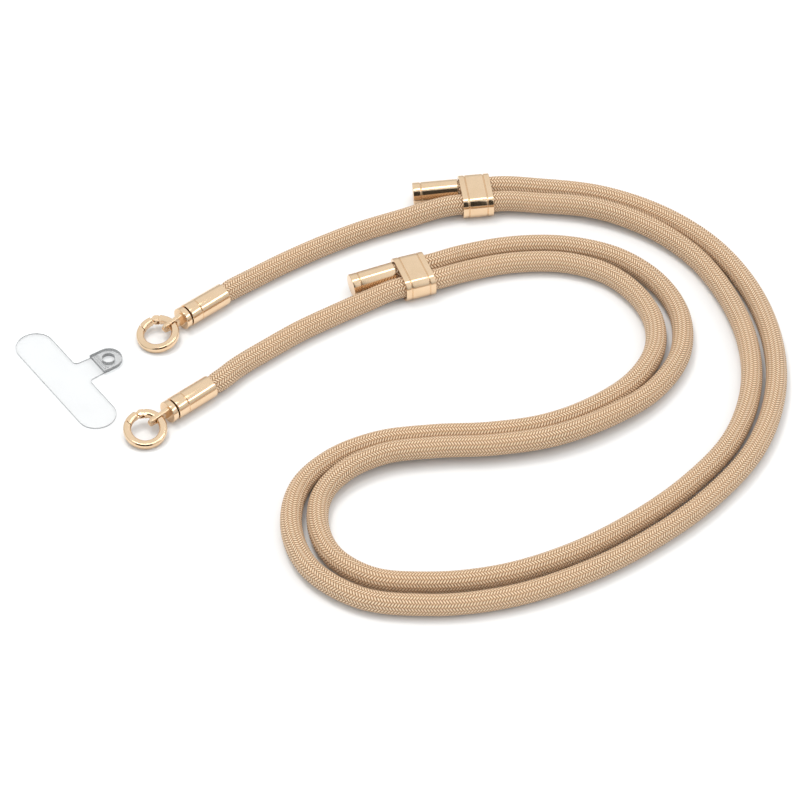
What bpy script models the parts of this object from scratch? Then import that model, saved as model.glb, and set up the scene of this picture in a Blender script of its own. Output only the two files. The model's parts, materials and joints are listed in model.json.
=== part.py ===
"""Crossbody phone strap lying on a surface: two braided ropes, metal hardware and a clear phone tab.

Lengths are millimetres times MM. +Z is up and the surface is z = 0. The origin is the middle of the
hardware's footprint, +X runs to the right of the strap as it lies, +Y away from its rings.
"""

import math

import bmesh
import bpy
import numpy as np
from mathutils import Matrix, Vector

MM = 0.001

# Ropes
ROPE_D = 8.0
ROPE_R = ROPE_D / 2
ROPE_END_R = 3.5            # the braid is pressed together inside a cap or stop
FLOOR_GAP = 0.1             # a rope's facets stay this far above the surface
ROPE_Z = ROPE_R + FLOOR_GAP
POINT_EVERY = 2 * ROPE_D    # distance between the points of a rope's tube
TAPER = 3.5                 # length over which a rope narrows towards a cap
GAP = 0.3                   # clearance between pieces that don't move
RUN = 0.1                   # clearance between a pin and its hole

# End caps, origin at the collar's end and +Z towards the rope
CAP_R = 4.4
CAP_LENGTH = 18.0
CAP_GROOVE_AT = 4.7
CAP_WALL = 1.4
ROPE_IN_CAP = 12.0          # length of rope inside the cap
BORE_R = ROPE_END_R + GAP

# Swivel connectors, origin at the cap's end and +Z towards the ring
DISC_GAP = 0.5
DISC_R = 4.3
DISC_THICK = 2.4
DISC_FACE = DISC_GAP + DISC_THICK
SHAFT_R = 1.3
HEAD_R = 2.4
HEAD_THICK = 1.2
LUG_THICK = 1.6
LUG_ROOT_HALF = 2.9         # half the lug's height at the disc
LUG_TIP_R = 1.85
LUG_TIP_AT = 7.0            # from the disc's face to the middle of the rounded tip
EYE_AT = 4.3                # from the disc's face to the middle of the eye
EYE_R = 1.9
RIVET_R = 0.5
RIVET_SUNK = 0.2

# Rings, origin at the ring's centre, +X towards the eye and +Z along the ring's axis
BAR = 3.0                   # the bar's width and height
BAR_CORNER_R = 1.0
RING_OUTER_R = 8.2
RING_MID_R = RING_OUTER_R - BAR / 2
BODY_END_DEG = 48.0         # where the body stops at the gate's hinge
GATE_PIVOT_DEG = 61.7
GATE_START_DEG = 76.5
GATE_END_DEG = 116.0
GATE_TIP_GAP = 0.3
EAR_R = 1.25
EAR_TOP = 1.38
TONGUE_R = 1.2
TONGUE_HALF = 0.6
EAR_BOTTOM = TONGUE_HALF + 0.2
GATE_PIN_R = 0.5
GATE_PIN_HALF = 1.47

# Sliders, origin in the middle, +X along the ropes and +Z up
HOLE_SPACING = 8.6          # between the two ropes' axes
HOLE_R = ROPE_R + 0.25
SLIDER_WALL = 0.8
SLIDER_LENGTH = 12.0
SLIDER_CORNER_R = 4.0
SLIDER_EDGE = 0.3
SLIDER_GROOVE_AT = 2.4      # from each end
GROOVE_DEPTH = 0.3
GROOVE_HALF = 0.25
SLIDER_HALF_HEIGHT = HOLE_R + SLIDER_WALL
SLIDER_HALF_WIDTH = HOLE_SPACING / 2 + HOLE_R + SLIDER_WALL
SLIDER_Z = SLIDER_HALF_HEIGHT

# End stops, origin at the free end and +Z towards the slider
STOP_R = 4.35
STOP_LENGTH = 17.6
STOP_GROOVE_AT = 3.2
STOP_WALL = 1.5
STOP_GAP = 0.5              # between the stop and the slider it rests against
ROPE_IN_STOP = 13.0

# Phone tab, origin under the middle of the bar, +Y along the stem
TAB_LENGTH = 58.4
TAB_WIDTH = 14.8
TAB_THICK = 0.6
STEM_WIDTH = 10.4
STEM_LENGTH = 6.5
STEM_FILLET = 1.6
EYELET_THICK = 1.9
EYELET_HOLE_AT = 5.1        # from the eyelet's straight side to its hole
EYELET_HOLE_R = 2.4
RIB_AT = (0.9, 2.0)         # the ribs' distances from the straight side
RIB_HALF_WIDTH = 0.3
RIB_HEIGHT = 0.35

TURN_STEPS = 24
RING_STEPS = 48
SMALL_STEPS = 16

# Where the pieces lie: x, y and heading in degrees of each cap's axis, towards its rope, and how the ring
# lies: its slope down from the eye, its swing to the side and the connector's roll, front side down
CAPS = {
    "upper": dict(x=-26.9, y=-4.1, heading=41.0, slope=12.1, swing=-4.0, roll=4.0),
    "lower": dict(x=-30.3, y=-54.1, heading=41.5, slope=7.8, swing=6.0, roll=12.5),
}
# x, y and heading of each slider, and heading of the stop that rests against its left end
SLIDERS = {
    "upper": dict(x=83.5, y=62.7, heading=7.5, stop_heading=5.0),
    "lower": dict(x=59.2, y=16.9, heading=19.5, stop_heading=21.0),
}
TAB = dict(x=-71.5, y=-35.0, heading=-55.2)

# Single stretches from a cap to its slider, chosen by eye: x, y
SINGLE = {
    "upper": [(-4.0, 15.4), (9.0, 25.0), (24.0, 34.8), (39.0, 43.2), (54.0, 49.8)],
    "lower": [(-7.0, -31.8), (4.5, -21.8), (16.0, -12.4), (29.0, -3.6), (41.0, 4.0)],
}
# Doubled stretch from the upper to the lower slider, chosen by eye: x, y of the line between the ropes,
# the distance between their axes, and how far rope_upper rides up on the other
DOUBLE = [
    (109.0, 63.4, 8.9, 0.5),
    (131.0, 59.6, 8.7, 1.0),
    (152.0, 49.4, 8.6, 0.6),
    (170.0, 32.8, 8.9, 0.0),
    (182.8, 9.8, 9.6, 0.0),
    (189.5, -15.2, 9.4, 0.0),
    (189.8, -42.3, 9.2, 0.0),
    (180.7, -72.3, 9.4, 0.0),
    (163.5, -96.1, 9.9, 0.0),
    (141.3, -116.6, 10.1, 0.0),
    (117.2, -132.6, 10.3, 0.0),
    (91.0, -143.3, 10.7, 0.0),
    (63.8, -146.9, 10.8, 0.0),
    (41.5, -143.8, 10.5, 0.0),
    (25.6, -131.2, 10.2, 0.0),
    (19.4, -113.1, 9.7, 0.0),
    (22.1, -95.1, 9.1, 0.4),
    (32.4, -82.7, 8.6, 1.4),
    (46.7, -75.0, 8.4, 2.0),
    (66.0, -71.6, 8.4, 2.0),
    (88.0, -70.2, 8.4, 2.0),
    (109.0, -65.9, 8.4, 2.0),
    (129.0, -55.8, 8.4, 1.6),
    (145.6, -41.2, 9.0, 0.6),
    (154.8, -23.0, 9.8, 0.0),
    (155.1, -5.0, 10.5, 0.0),
    (148.0, 11.5, 10.6, 0.0),
    (135.5, 23.8, 9.9, 0.0),
    (118.0, 30.2, 9.2, 0.0),
    (98.0, 30.2, 9.1, 0.0),
    (79.0, 25.4, 9.0, 0.0),
]


# Scene and materials
def clear_scene():
    for old in list(bpy.data.objects):
        bpy.data.objects.remove(old, do_unlink=True)


def new_collection(name):
    made = bpy.data.collections.new(name)
    bpy.context.scene.collection.children.link(made)
    return made


def make_material(name, color, metallic, roughness, alpha=1.0):
    made = bpy.data.materials.new(name)
    made.use_nodes = True
    shader = made.node_tree.nodes["Principled BSDF"]
    shader.inputs["Base Color"].default_value = (*color, 1.0)
    shader.inputs["Metallic"].default_value = metallic
    shader.inputs["Roughness"].default_value = roughness
    shader.inputs["Alpha"].default_value = alpha
    return made


# Small geometry helpers
def heading_vector(degrees):
    angle = math.radians(degrees)
    return Vector((math.cos(angle), math.sin(angle), 0.0))


def frame(origin, z_axis, x_axis):
    """Matrix of a local frame at origin (in mm) with the given Z, and X as near x_axis as it can be."""
    z = Vector(z_axis).normalized()
    x = Vector(x_axis)
    x = (x - z * x.dot(z)).normalized()
    y = z.cross(x)
    turned_axes = Matrix((x, y, z)).transposed().to_4x4()
    return Matrix.Translation(Vector(origin) * MM) @ turned_axes


def arc(center_x, center_y, radius, start_deg, end_deg, steps):
    """Points on an arc, both ends included."""
    points = []
    for i in range(steps + 1):
        angle = math.radians(start_deg + (end_deg - start_deg) * i / steps)
        points.append((center_x + radius * math.cos(angle), center_y + radius * math.sin(angle)))
    return points


def rounded_loop(half_width, half_height, radius, steps):
    """Outline of a rounded rectangle, the same number of points at each corner."""
    corners = [(1, 1, 0), (-1, 1, 90), (-1, -1, 180), (1, -1, 270)]
    points = []
    for side_x, side_y, start in corners:
        center_x = side_x * (half_width - radius)
        center_y = side_y * (half_height - radius)
        points += arc(center_x, center_y, radius, start, start + 90, steps)
    return points


def add_object(name, data, collection, matrix, material=None):
    made = bpy.data.objects.new(name, data)
    made.matrix_world = matrix
    collection.objects.link(made)
    if material:
        data.materials.append(material)
    return made


def finish_mesh(name, mesh_builder, collection, matrix, material=None):
    """Write a bmesh drawn in mm into an object, sized to metres, with its faces outward."""
    bmesh.ops.remove_doubles(mesh_builder, verts=mesh_builder.verts, dist=0.0005)
    bmesh.ops.recalc_face_normals(mesh_builder, faces=mesh_builder.faces)
    bmesh.ops.scale(mesh_builder, vec=(MM, MM, MM), verts=mesh_builder.verts)
    data = bpy.data.meshes.new(name)
    mesh_builder.to_mesh(data)
    mesh_builder.free()
    return add_object(name, data, collection, matrix, material)


def turned(name, profile, steps, collection, matrix, material=None):
    """Turn a closed or axis-to-axis profile of (radius, z) about Z with a Screw modifier."""
    data = bpy.data.meshes.new(name)
    points = [(radius * MM, 0.0, z * MM) for radius, z in profile]
    count = len(points)
    edges = [(i, i + 1) for i in range(count - 1)]
    on_axis = profile[0][0] == 0 and profile[-1][0] == 0
    if not on_axis:
        edges.append((count - 1, 0))
    data.from_pydata(points, edges, [])
    made = add_object(name, data, collection, matrix, material)
    screw = made.modifiers.new("turn", "SCREW")
    screw.axis = "Z"
    screw.steps = steps
    screw.render_steps = steps
    screw.use_merge_vertices = True
    screw.merge_threshold = 0.000001
    return made


def extruded(name, outline, low, high, collection, matrix, material=None):
    """A flat outline of (x, y) points raised from z = low to z = high."""
    builder = bmesh.new()
    base = [builder.verts.new((x, y, low)) for x, y in outline]
    face = builder.faces.new(base)
    grown = bmesh.ops.extrude_face_region(builder, geom=[face])
    top = [item for item in grown["geom"] if isinstance(item, bmesh.types.BMVert)]
    bmesh.ops.translate(builder, vec=(0, 0, high - low), verts=top)
    return finish_mesh(name, builder, collection, matrix, material)


def closed_sweep(name, loops, collection, matrix, material=None):
    """Join loops of equal length, the last one to the first."""
    builder = bmesh.new()
    rows = [[builder.verts.new(point) for point in loop] for loop in loops]
    count = len(rows[0])
    for i, row in enumerate(rows):
        following = rows[(i + 1) % len(rows)]
        for j in range(count):
            k = (j + 1) % count
            builder.faces.new((row[j], row[k], following[k], following[j]))
    return finish_mesh(name, builder, collection, matrix, material)


def combine(target, tool, operation):
    """Join, cut or intersect target with tool, then keep tool among the hidden cutters."""
    step = target.modifiers.new(tool.name, "BOOLEAN")
    step.operation = operation
    step.solver = "EXACT"
    step.object = tool
    tool.hide_render = True
    tool.display_type = "WIRE"


def soften(target, angle_deg):
    """Smooth shading on everything flatter than the angle, sharp edges elsewhere."""
    data = target.data
    for polygon in data.polygons:
        polygon.use_smooth = True
    data.set_sharp_from_angle(angle=math.radians(angle_deg))


def apply_modifiers(target):
    """Replace an object's mesh by what its modifiers make of it."""
    depsgraph = bpy.context.evaluated_depsgraph_get()
    made = bpy.data.meshes.new_from_object(target.evaluated_get(depsgraph))
    made.name = target.name
    target.modifiers.clear()
    target.data = made
    soften(target, 35.0)


# Turned pieces
def grooved_side(radius, length, groove_at, edge):
    """Outer side of a barrel from z = length down to z = 0, with one groove and broken edges."""
    return [
        (radius - edge, length),
        (radius, length - edge),
        (radius, groove_at + GROOVE_HALF),
        (radius - GROOVE_DEPTH, groove_at + GROOVE_HALF / 2),
        (radius - GROOVE_DEPTH, groove_at - GROOVE_HALF / 2),
        (radius, groove_at - GROOVE_HALF),
        (radius, edge),
        (radius - edge, 0.0),
    ]


def make_cap(side, place, parts, gold):
    heading = heading_vector(place["heading"])
    matrix = frame((place["x"], place["y"], CAP_R), heading, (0, 0, 1))
    inside = [
        (SHAFT_R + RUN, 0.0),
        (SHAFT_R + RUN, CAP_WALL),
        (BORE_R, CAP_WALL),
        (BORE_R, CAP_LENGTH),
    ]
    profile = grooved_side(CAP_R, CAP_LENGTH, CAP_GROOVE_AT, 0.3) + inside
    cap = turned("cap_" + side, profile, TURN_STEPS, parts, matrix, gold)
    apply_modifiers(cap)


def stop_frame(place):
    """Frame of an end stop: its open end faces the slider's left end, its free end lies on the surface."""
    along = heading_vector(place["heading"])
    across = Vector((-along.y, along.x, 0.0))
    mouth = Vector((place["x"], place["y"], SLIDER_Z)) - along * (SLIDER_LENGTH / 2)
    mouth += across * (HOLE_SPACING / 2)
    rise = math.asin((SLIDER_Z - STOP_R) / (STOP_LENGTH + STOP_GAP))
    axis = heading_vector(place["stop_heading"]) * math.cos(rise)
    axis.z = math.sin(rise)
    free_end = mouth - axis * (STOP_GAP + STOP_LENGTH)
    return free_end, axis, mouth


def make_stop(side, place, parts, gold):
    free_end, axis, _ = stop_frame(place)
    matrix = frame(free_end, axis, (0, 0, 1))
    inside = [
        (0.0, STOP_WALL),
        (BORE_R, STOP_WALL),
        (BORE_R, STOP_LENGTH),
    ]
    outside = grooved_side(STOP_R, STOP_LENGTH, STOP_GROOVE_AT, 0.3) + [(0.0, 0.0)]
    profile = inside + outside
    stop = turned("stop_" + side, profile, TURN_STEPS, parts, matrix, gold)
    apply_modifiers(stop)


# Swivel connector: a turned disc, shaft and head, with an upright lug across its front
def connector_frame(place):
    heading = heading_vector(place["heading"])
    up = Matrix.Rotation(math.radians(place["roll"]), 3, heading) @ Vector((0, 0, 1))
    return frame((place["x"], place["y"], CAP_R), -heading, up)


def make_connector(side, place, parts, cutters, gold):
    matrix = connector_frame(place)
    neck = CAP_WALL + GAP
    profile = [
        (0.0, DISC_FACE),
        (DISC_R - 0.3, DISC_FACE),
        (DISC_R, DISC_FACE - 0.3),
        (DISC_R, DISC_GAP),
        (SHAFT_R, DISC_GAP),
        (SHAFT_R, -neck),
        (HEAD_R, -neck),
        (HEAD_R, -neck - HEAD_THICK),
        (0.0, -neck - HEAD_THICK),
    ]
    connector = turned("connector_" + side, profile, TURN_STEPS, parts, matrix, gold)

    # The lug's outline lies in local X and Z, so it is drawn flat and stood up with its Z along local -Y
    stand = matrix @ Matrix(((1, 0, 0, 0), (0, 0, -1, 0), (0, 1, 0, 0), (0, 0, 0, 1)))
    half = LUG_THICK / 2
    tip_z = DISC_FACE + LUG_TIP_AT
    outline = [(-LUG_ROOT_HALF, DISC_FACE - 0.4), (LUG_ROOT_HALF, DISC_FACE - 0.4)]
    outline += arc(0.0, tip_z, LUG_TIP_R, 0, 180, 10)
    lug = extruded("lug_" + side, outline, -half, half, cutters, stand)
    circle = arc(0.0, DISC_FACE + EYE_AT, EYE_R, 0, 345, 23)
    eye = extruded("eye_" + side, circle, -half - 1, half + 1, cutters, stand)
    combine(lug, eye, "DIFFERENCE")
    for label, low, high in (("front", half - RIVET_SUNK, half + 1), ("back", -half - 1, -half + RIVET_SUNK)):
        circle = arc(0.0, tip_z, RIVET_R, 0, 360 - 360 / SMALL_STEPS, SMALL_STEPS - 1)
        dimple = extruded("rivet_" + label + "_" + side, circle, low, high, cutters, stand)
        combine(lug, dimple, "DIFFERENCE")
    combine(connector, lug, "UNION")
    apply_modifiers(connector)


# Ring and gate
def ring_frame(place):
    """Frame of a ring whose bar passes through its connector's eye."""
    heading = heading_vector(place["heading"])
    roll = Matrix.Rotation(math.radians(place["roll"]), 3, heading)
    ring_heading = heading_vector(place["heading"] + place["swing"])
    slope = math.radians(place["slope"])
    towards_eye = roll @ (ring_heading * math.cos(slope) + Vector((0, 0, math.sin(slope))))
    normal = roll @ (Vector((0, 0, math.cos(slope))) - ring_heading * math.sin(slope))
    eye = Vector((place["x"], place["y"], CAP_R)) - heading * (DISC_FACE + EYE_AT)
    center = eye - towards_eye * RING_MID_R
    return frame(center, normal, towards_eye)


def ring_point(degrees, radius=RING_MID_R):
    angle = math.radians(degrees)
    return radius * math.cos(angle), radius * math.sin(angle)


def full_ring(name, collection, matrix, material=None):
    half = BAR / 2
    section = rounded_loop(half, half, BAR_CORNER_R, 1)
    profile = [(RING_MID_R + x, y) for x, y in reversed(section)]
    return turned(name, profile, RING_STEPS, collection, matrix, material)


def wedge(name, start_deg, end_deg, cutters, matrix):
    outline = [(0.0, 0.0)] + arc(0.0, 0.0, RING_OUTER_R * 1.5, start_deg, end_deg, 4)
    return extruded(name, outline, -BAR, BAR, cutters, matrix)


def strip(name, start, end, half_width, low, high, cutters, matrix):
    """A flat bar from start to end, with a round end about end."""
    along = Vector((end[0] - start[0], end[1] - start[1]))
    facing = math.degrees(math.atan2(along.y, along.x))
    side = Vector((-along.y, along.x)).normalized() * half_width
    outline = [(start[0] + side.x, start[1] + side.y), (start[0] - side.x, start[1] - side.y)]
    outline += arc(end[0], end[1], half_width, facing - 90, facing + 90, 8)
    return extruded(name, outline, low, high, cutters, matrix)


def gate_reach(name, extra, cutters, matrix):
    """Round block about the gate's pivot, as far as its free end reaches, so that the end swings clear."""
    pivot = Vector(ring_point(GATE_PIVOT_DEG))
    end = Vector(ring_point(GATE_END_DEG))
    circle = arc(*pivot, (end - pivot).length + extra, 0, 354, 59)
    return extruded(name, circle, -BAR * 0.75, BAR * 0.75, cutters, matrix)


def make_ring(side, place, parts, cutters, gold):
    matrix = ring_frame(place)
    ring = full_ring("ring_" + side, parts, matrix, gold)
    opening = wedge("opening_" + side, BODY_END_DEG, GATE_END_DEG + 30, cutters, matrix)
    reach = gate_reach("body_reach_" + side, GATE_TIP_GAP, cutters, matrix)
    combine(opening, reach, "INTERSECT")
    combine(ring, opening, "DIFFERENCE")
    pivot = ring_point(GATE_PIVOT_DEG)
    root = ring_point(BODY_END_DEG - 8)
    for label, low, high in (("top", EAR_BOTTOM, EAR_TOP), ("bottom", -EAR_TOP, -EAR_BOTTOM)):
        ear = strip("ear_" + label + "_" + side, root, pivot, EAR_R, low, high, cutters, matrix)
        combine(ring, ear, "UNION")
    circle = arc(*pivot, GATE_PIN_R, 0, 360 - 360 / SMALL_STEPS, SMALL_STEPS - 1)
    pin = extruded("gate_pin_" + side, circle, -GATE_PIN_HALF, GATE_PIN_HALF, cutters, matrix)
    combine(ring, pin, "UNION")
    apply_modifiers(ring)


def make_gate(side, place, parts, cutters, gold):
    ring_matrix = ring_frame(place)
    gate = full_ring("gate_" + side, parts, ring_matrix, gold)
    span = wedge("span_" + side, GATE_START_DEG, GATE_END_DEG + 30, cutters, ring_matrix)
    reach = gate_reach("gate_reach_" + side, 0.0, cutters, ring_matrix)
    combine(span, reach, "INTERSECT")
    combine(gate, span, "INTERSECT")
    pivot = ring_point(GATE_PIVOT_DEG)
    root = ring_point(GATE_START_DEG + 8)
    tongue = strip("tongue_" + side, root, pivot, TONGUE_R, -TONGUE_HALF, TONGUE_HALF, cutters, ring_matrix)
    combine(gate, tongue, "UNION")
    circle = arc(*pivot, GATE_PIN_R + RUN, 0, 360 - 360 / SMALL_STEPS, SMALL_STEPS - 1)
    bore = extruded("gate_bore_" + side, circle, -BAR, BAR, cutters, ring_matrix)
    combine(gate, bore, "DIFFERENCE")
    apply_modifiers(gate)
    # The gate's origin goes onto its hinge axis
    offset = Vector((pivot[0], pivot[1], 0.0)) * MM
    gate.data.transform(Matrix.Translation(-offset))
    gate.matrix_world = ring_matrix @ Matrix.Translation(offset)


# Slider
def make_slider(side, place, parts, gold):
    along = heading_vector(place["heading"])
    matrix = frame((place["x"], place["y"], SLIDER_Z), (0, 0, 1), along)
    half = SLIDER_LENGTH / 2
    groove = half - SLIDER_GROOVE_AT
    stations = [(-half, SLIDER_EDGE), (-half + SLIDER_EDGE, 0.0)]
    for middle in (-groove, groove):
        stations += [
            (middle - GROOVE_HALF, 0.0),
            (middle - GROOVE_HALF / 2, GROOVE_DEPTH),
            (middle + GROOVE_HALF / 2, GROOVE_DEPTH),
            (middle + GROOVE_HALF, 0.0),
        ]
    stations += [(half - SLIDER_EDGE, 0.0), (half, SLIDER_EDGE)]
    loops = []
    for x, inset in stations:
        width = SLIDER_HALF_WIDTH - inset
        height = SLIDER_HALF_HEIGHT - inset
        outline = rounded_loop(width, height, SLIDER_CORNER_R - inset, 6)
        loops.append([(x, y, z) for y, z in outline])
    opening = rounded_loop(HOLE_SPACING / 2 + HOLE_R, HOLE_R, HOLE_R, 6)
    for x in (half, -half):
        loops.append([(x, y, z) for y, z in opening])
    slider = closed_sweep("slider_" + side, loops, parts, matrix, gold)
    soften(slider, 35.0)


# Phone tab
def make_tab(parts, cutters, plastic):
    place = Matrix.Translation(Vector((TAB["x"], TAB["y"], 0.0)) * MM)
    matrix = place @ Matrix.Rotation(math.radians(TAB["heading"]), 4, "Z")
    half_width = TAB_WIDTH / 2
    end_x = TAB_LENGTH / 2 - half_width
    stem = STEM_WIDTH / 2
    eyelet_y = half_width + STEM_LENGTH
    outline = arc(-end_x, 0.0, half_width, 90, 270, 16)
    outline += arc(end_x, 0.0, half_width, -90, 90, 16)
    outline += arc(stem + STEM_FILLET, half_width + STEM_FILLET, STEM_FILLET, 270, 180, 4)
    outline += [(stem - 0.4, eyelet_y + 1.5), (-stem + 0.4, eyelet_y + 1.5)]
    outline += arc(-stem - STEM_FILLET, half_width + STEM_FILLET, STEM_FILLET, 0, -90, 4)
    tab = extruded("phone_tab", outline, 0.0, TAB_THICK, parts, matrix, plastic)

    hole_y = eyelet_y + EYELET_HOLE_AT
    outline = [(-stem, eyelet_y), (stem, eyelet_y)] + arc(0.0, hole_y, stem, 0, 180, 16)
    eyelet = extruded("eyelet_block", outline, 0.0, EYELET_THICK, cutters, matrix)
    combine(tab, eyelet, "UNION")
    for i, distance in enumerate(RIB_AT):
        middle = eyelet_y + distance
        reach = stem - 0.5
        outline = [
            (-reach, middle - RIB_HALF_WIDTH),
            (reach, middle - RIB_HALF_WIDTH),
            (reach, middle + RIB_HALF_WIDTH),
            (-reach, middle + RIB_HALF_WIDTH),
        ]
        top = EYELET_THICK + RIB_HEIGHT
        rib = extruded("rib_" + str(i), outline, EYELET_THICK - 0.5, top, cutters, matrix)
        combine(tab, rib, "UNION")
    circle = arc(0.0, hole_y, EYELET_HOLE_R, 0, 345, 23)
    hole = extruded("eyelet_hole", circle, -1.0, EYELET_THICK + 1.0, cutters, matrix)
    combine(tab, hole, "DIFFERENCE")
    apply_modifiers(tab)


# Ropes
def smooth_line(points, knots, first_slope, last_slope):
    """Function of a knot value that runs smoothly through the points."""
    points = np.asarray(points, float)
    knots = np.asarray(knots, float)
    slopes = np.gradient(points, knots, axis=0)
    slopes[0] = first_slope
    slopes[-1] = last_slope

    def at(value):
        i = int(np.clip(np.searchsorted(knots, value) - 1, 0, len(knots) - 2))
        span = knots[i + 1] - knots[i]
        u = (value - knots[i]) / span
        start = (2 * u**3 - 3 * u**2 + 1) * points[i] + (u**3 - 2 * u**2 + u) * span * slopes[i]
        end = (3 * u**2 - 2 * u**3) * points[i + 1] + (u**3 - u**2) * span * slopes[i + 1]
        return start + end

    return at


def distances(points):
    steps = np.linalg.norm(np.diff(np.asarray(points, float), axis=0), axis=1)
    return np.concatenate([[0.0], np.cumsum(steps)])


def sampled(line, length):
    """Evenly spaced points of a smooth line, both ends included."""
    count = max(2, math.ceil(length / POINT_EVERY))
    return [line(length * i / count) for i in range(count + 1)]


def hole_point(place, sign, along_mm):
    """Point on a rope's axis in a slider: sign is +1 for the back hole, along_mm from its middle."""
    along = heading_vector(place["heading"])
    across = Vector((-along.y, along.x, 0.0))
    point = Vector((place["x"], place["y"], SLIDER_Z))
    return np.array(point + along * along_mm + across * (sign * HOLE_SPACING / 2))


def single_stretch(side):
    """Rope from inside its cap to the near end of its slider's front hole."""
    place = CAPS[side]
    heading = heading_vector(place["heading"])
    collar = Vector((place["x"], place["y"], CAP_R))
    deep = np.array(collar + heading * (CAP_LENGTH - ROPE_IN_CAP))
    mouth = np.array(collar + heading * (CAP_LENGTH + 0.2))
    leave = np.array(collar + heading * (CAP_LENGTH + TAPER))
    route = [(x, y, ROPE_Z) for x, y in SINGLE[side]]
    arrive = hole_point(SLIDERS[side], -1, -SLIDER_LENGTH / 2 - 1.5)
    points = np.array([leave, *route, arrive])
    knots = distances(points)
    slope = np.array(heading_vector(SLIDERS[side]["heading"]))
    line = smooth_line(points, knots, np.array(heading), slope)
    narrow = ROPE_END_R / ROPE_R
    ends = [(deep, narrow), (mouth, narrow)]
    return ends + [(point, 1.0) for point in sampled(line, knots[-1])]


def doubled_stretch():
    """Both ropes from the upper to the lower slider, sampled side by side."""
    half = SLIDER_LENGTH / 2 + 1.5
    first = {1: hole_point(SLIDERS["upper"], -1, half), -1: hole_point(SLIDERS["upper"], 1, half)}
    last = {1: hole_point(SLIDERS["lower"], 1, half), -1: hole_point(SLIDERS["lower"], -1, half)}
    middles = [(first[1] + first[-1]) / 2]
    middles += [np.array((x, y, ROPE_Z)) for x, y, _, _ in DOUBLE]
    middles.append((last[1] + last[-1]) / 2)
    knots = distances(middles)
    leave = np.array(heading_vector(SLIDERS["upper"]["heading"]))
    arrive = -np.array(heading_vector(SLIDERS["lower"]["heading"]))
    middle_line = smooth_line(middles, knots, leave, arrive)
    tangents = [middle_line(min(k + 0.5, knots[-1])) - middle_line(max(k - 0.5, 0.0)) for k in knots]
    ropes = {}
    for sign in (1, -1):
        points = [first[sign]]
        for row, tangent in zip(DOUBLE, tangents[1:-1]):
            x, y, spacing, ride = row
            right = np.array((tangent[1], -tangent[0], 0.0)) / math.hypot(tangent[0], tangent[1])
            height = ROPE_Z + (ride if sign == 1 else 0.0)
            points.append(np.array((x, y, height)) + right * (sign * spacing / 2))
        points.append(last[sign])
        line = smooth_line(points, knots, leave, arrive)
        ropes[sign] = [(point, 1.0) for point in sampled(line, knots[-1])]
    return ropes


def stop_stretch(side):
    """Rope from its slider's back hole into the end stop, ending inside it."""
    free_end, axis, mouth = stop_frame(SLIDERS[side])
    narrow = ROPE_END_R / ROPE_R
    wide_at = hole_point(SLIDERS[side], 1, -SLIDER_LENGTH / 2 + TAPER)
    deep = np.array(free_end + axis * (STOP_LENGTH - ROPE_IN_STOP))
    return [(wide_at, 1.0), (np.array(mouth), narrow), (deep, narrow)]


def make_rope(name, points, parts, braid):
    data = bpy.data.curves.new(name, "CURVE")
    data.dimensions = "3D"
    data.bevel_depth = ROPE_R * MM
    data.bevel_resolution = 4
    data.use_fill_caps = True
    spline = data.splines.new("POLY")
    spline.points.add(len(points) - 1)
    for target, (point, factor) in zip(spline.points, points):
        target.co = (*(point * MM), 1.0)
        target.radius = factor
    spline.use_smooth = True
    return add_object(name, data, parts, Matrix.Identity(4), braid)


def make_ropes(parts, braid):
    doubled = doubled_stretch()
    upper = single_stretch("upper") + doubled[1] + stop_stretch("lower")
    lower = single_stretch("lower") + doubled[-1][::-1] + stop_stretch("upper")
    make_rope("rope_upper", upper, parts, braid)
    make_rope("rope_lower", lower, parts, braid)


def main():
    clear_scene()
    parts = new_collection("phone_strap")
    cutters = new_collection("cutters")
    gold = make_material("gold_metal", (0.80, 0.56, 0.36), 1.0, 0.18)
    braid = make_material("rope_braid", (0.62, 0.46, 0.31), 0.0, 0.8)
    plastic = make_material("clear_plastic", (0.93, 0.94, 0.95), 0.0, 0.15, 0.35)
    for side, place in CAPS.items():
        make_cap(side, place, parts, gold)
        make_connector(side, place, parts, cutters, gold)
        make_ring(side, place, parts, cutters, gold)
        make_gate(side, place, parts, cutters, gold)
    for side, place in SLIDERS.items():
        make_slider(side, place, parts, gold)
        make_stop(side, place, parts, gold)
    make_ropes(parts, braid)
    make_tab(parts, cutters, plastic)


main()
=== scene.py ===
"""Looks of the crossbody phone strap: braided ropes, polished gold hardware and a clear phone tab.

Lengths are millimetres times MM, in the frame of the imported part: +Z up, the surface at z = 0.
"""

import json
import math

import bmesh
import bpy
import numpy as np
from mathutils import Euler, Matrix, Vector

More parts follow.
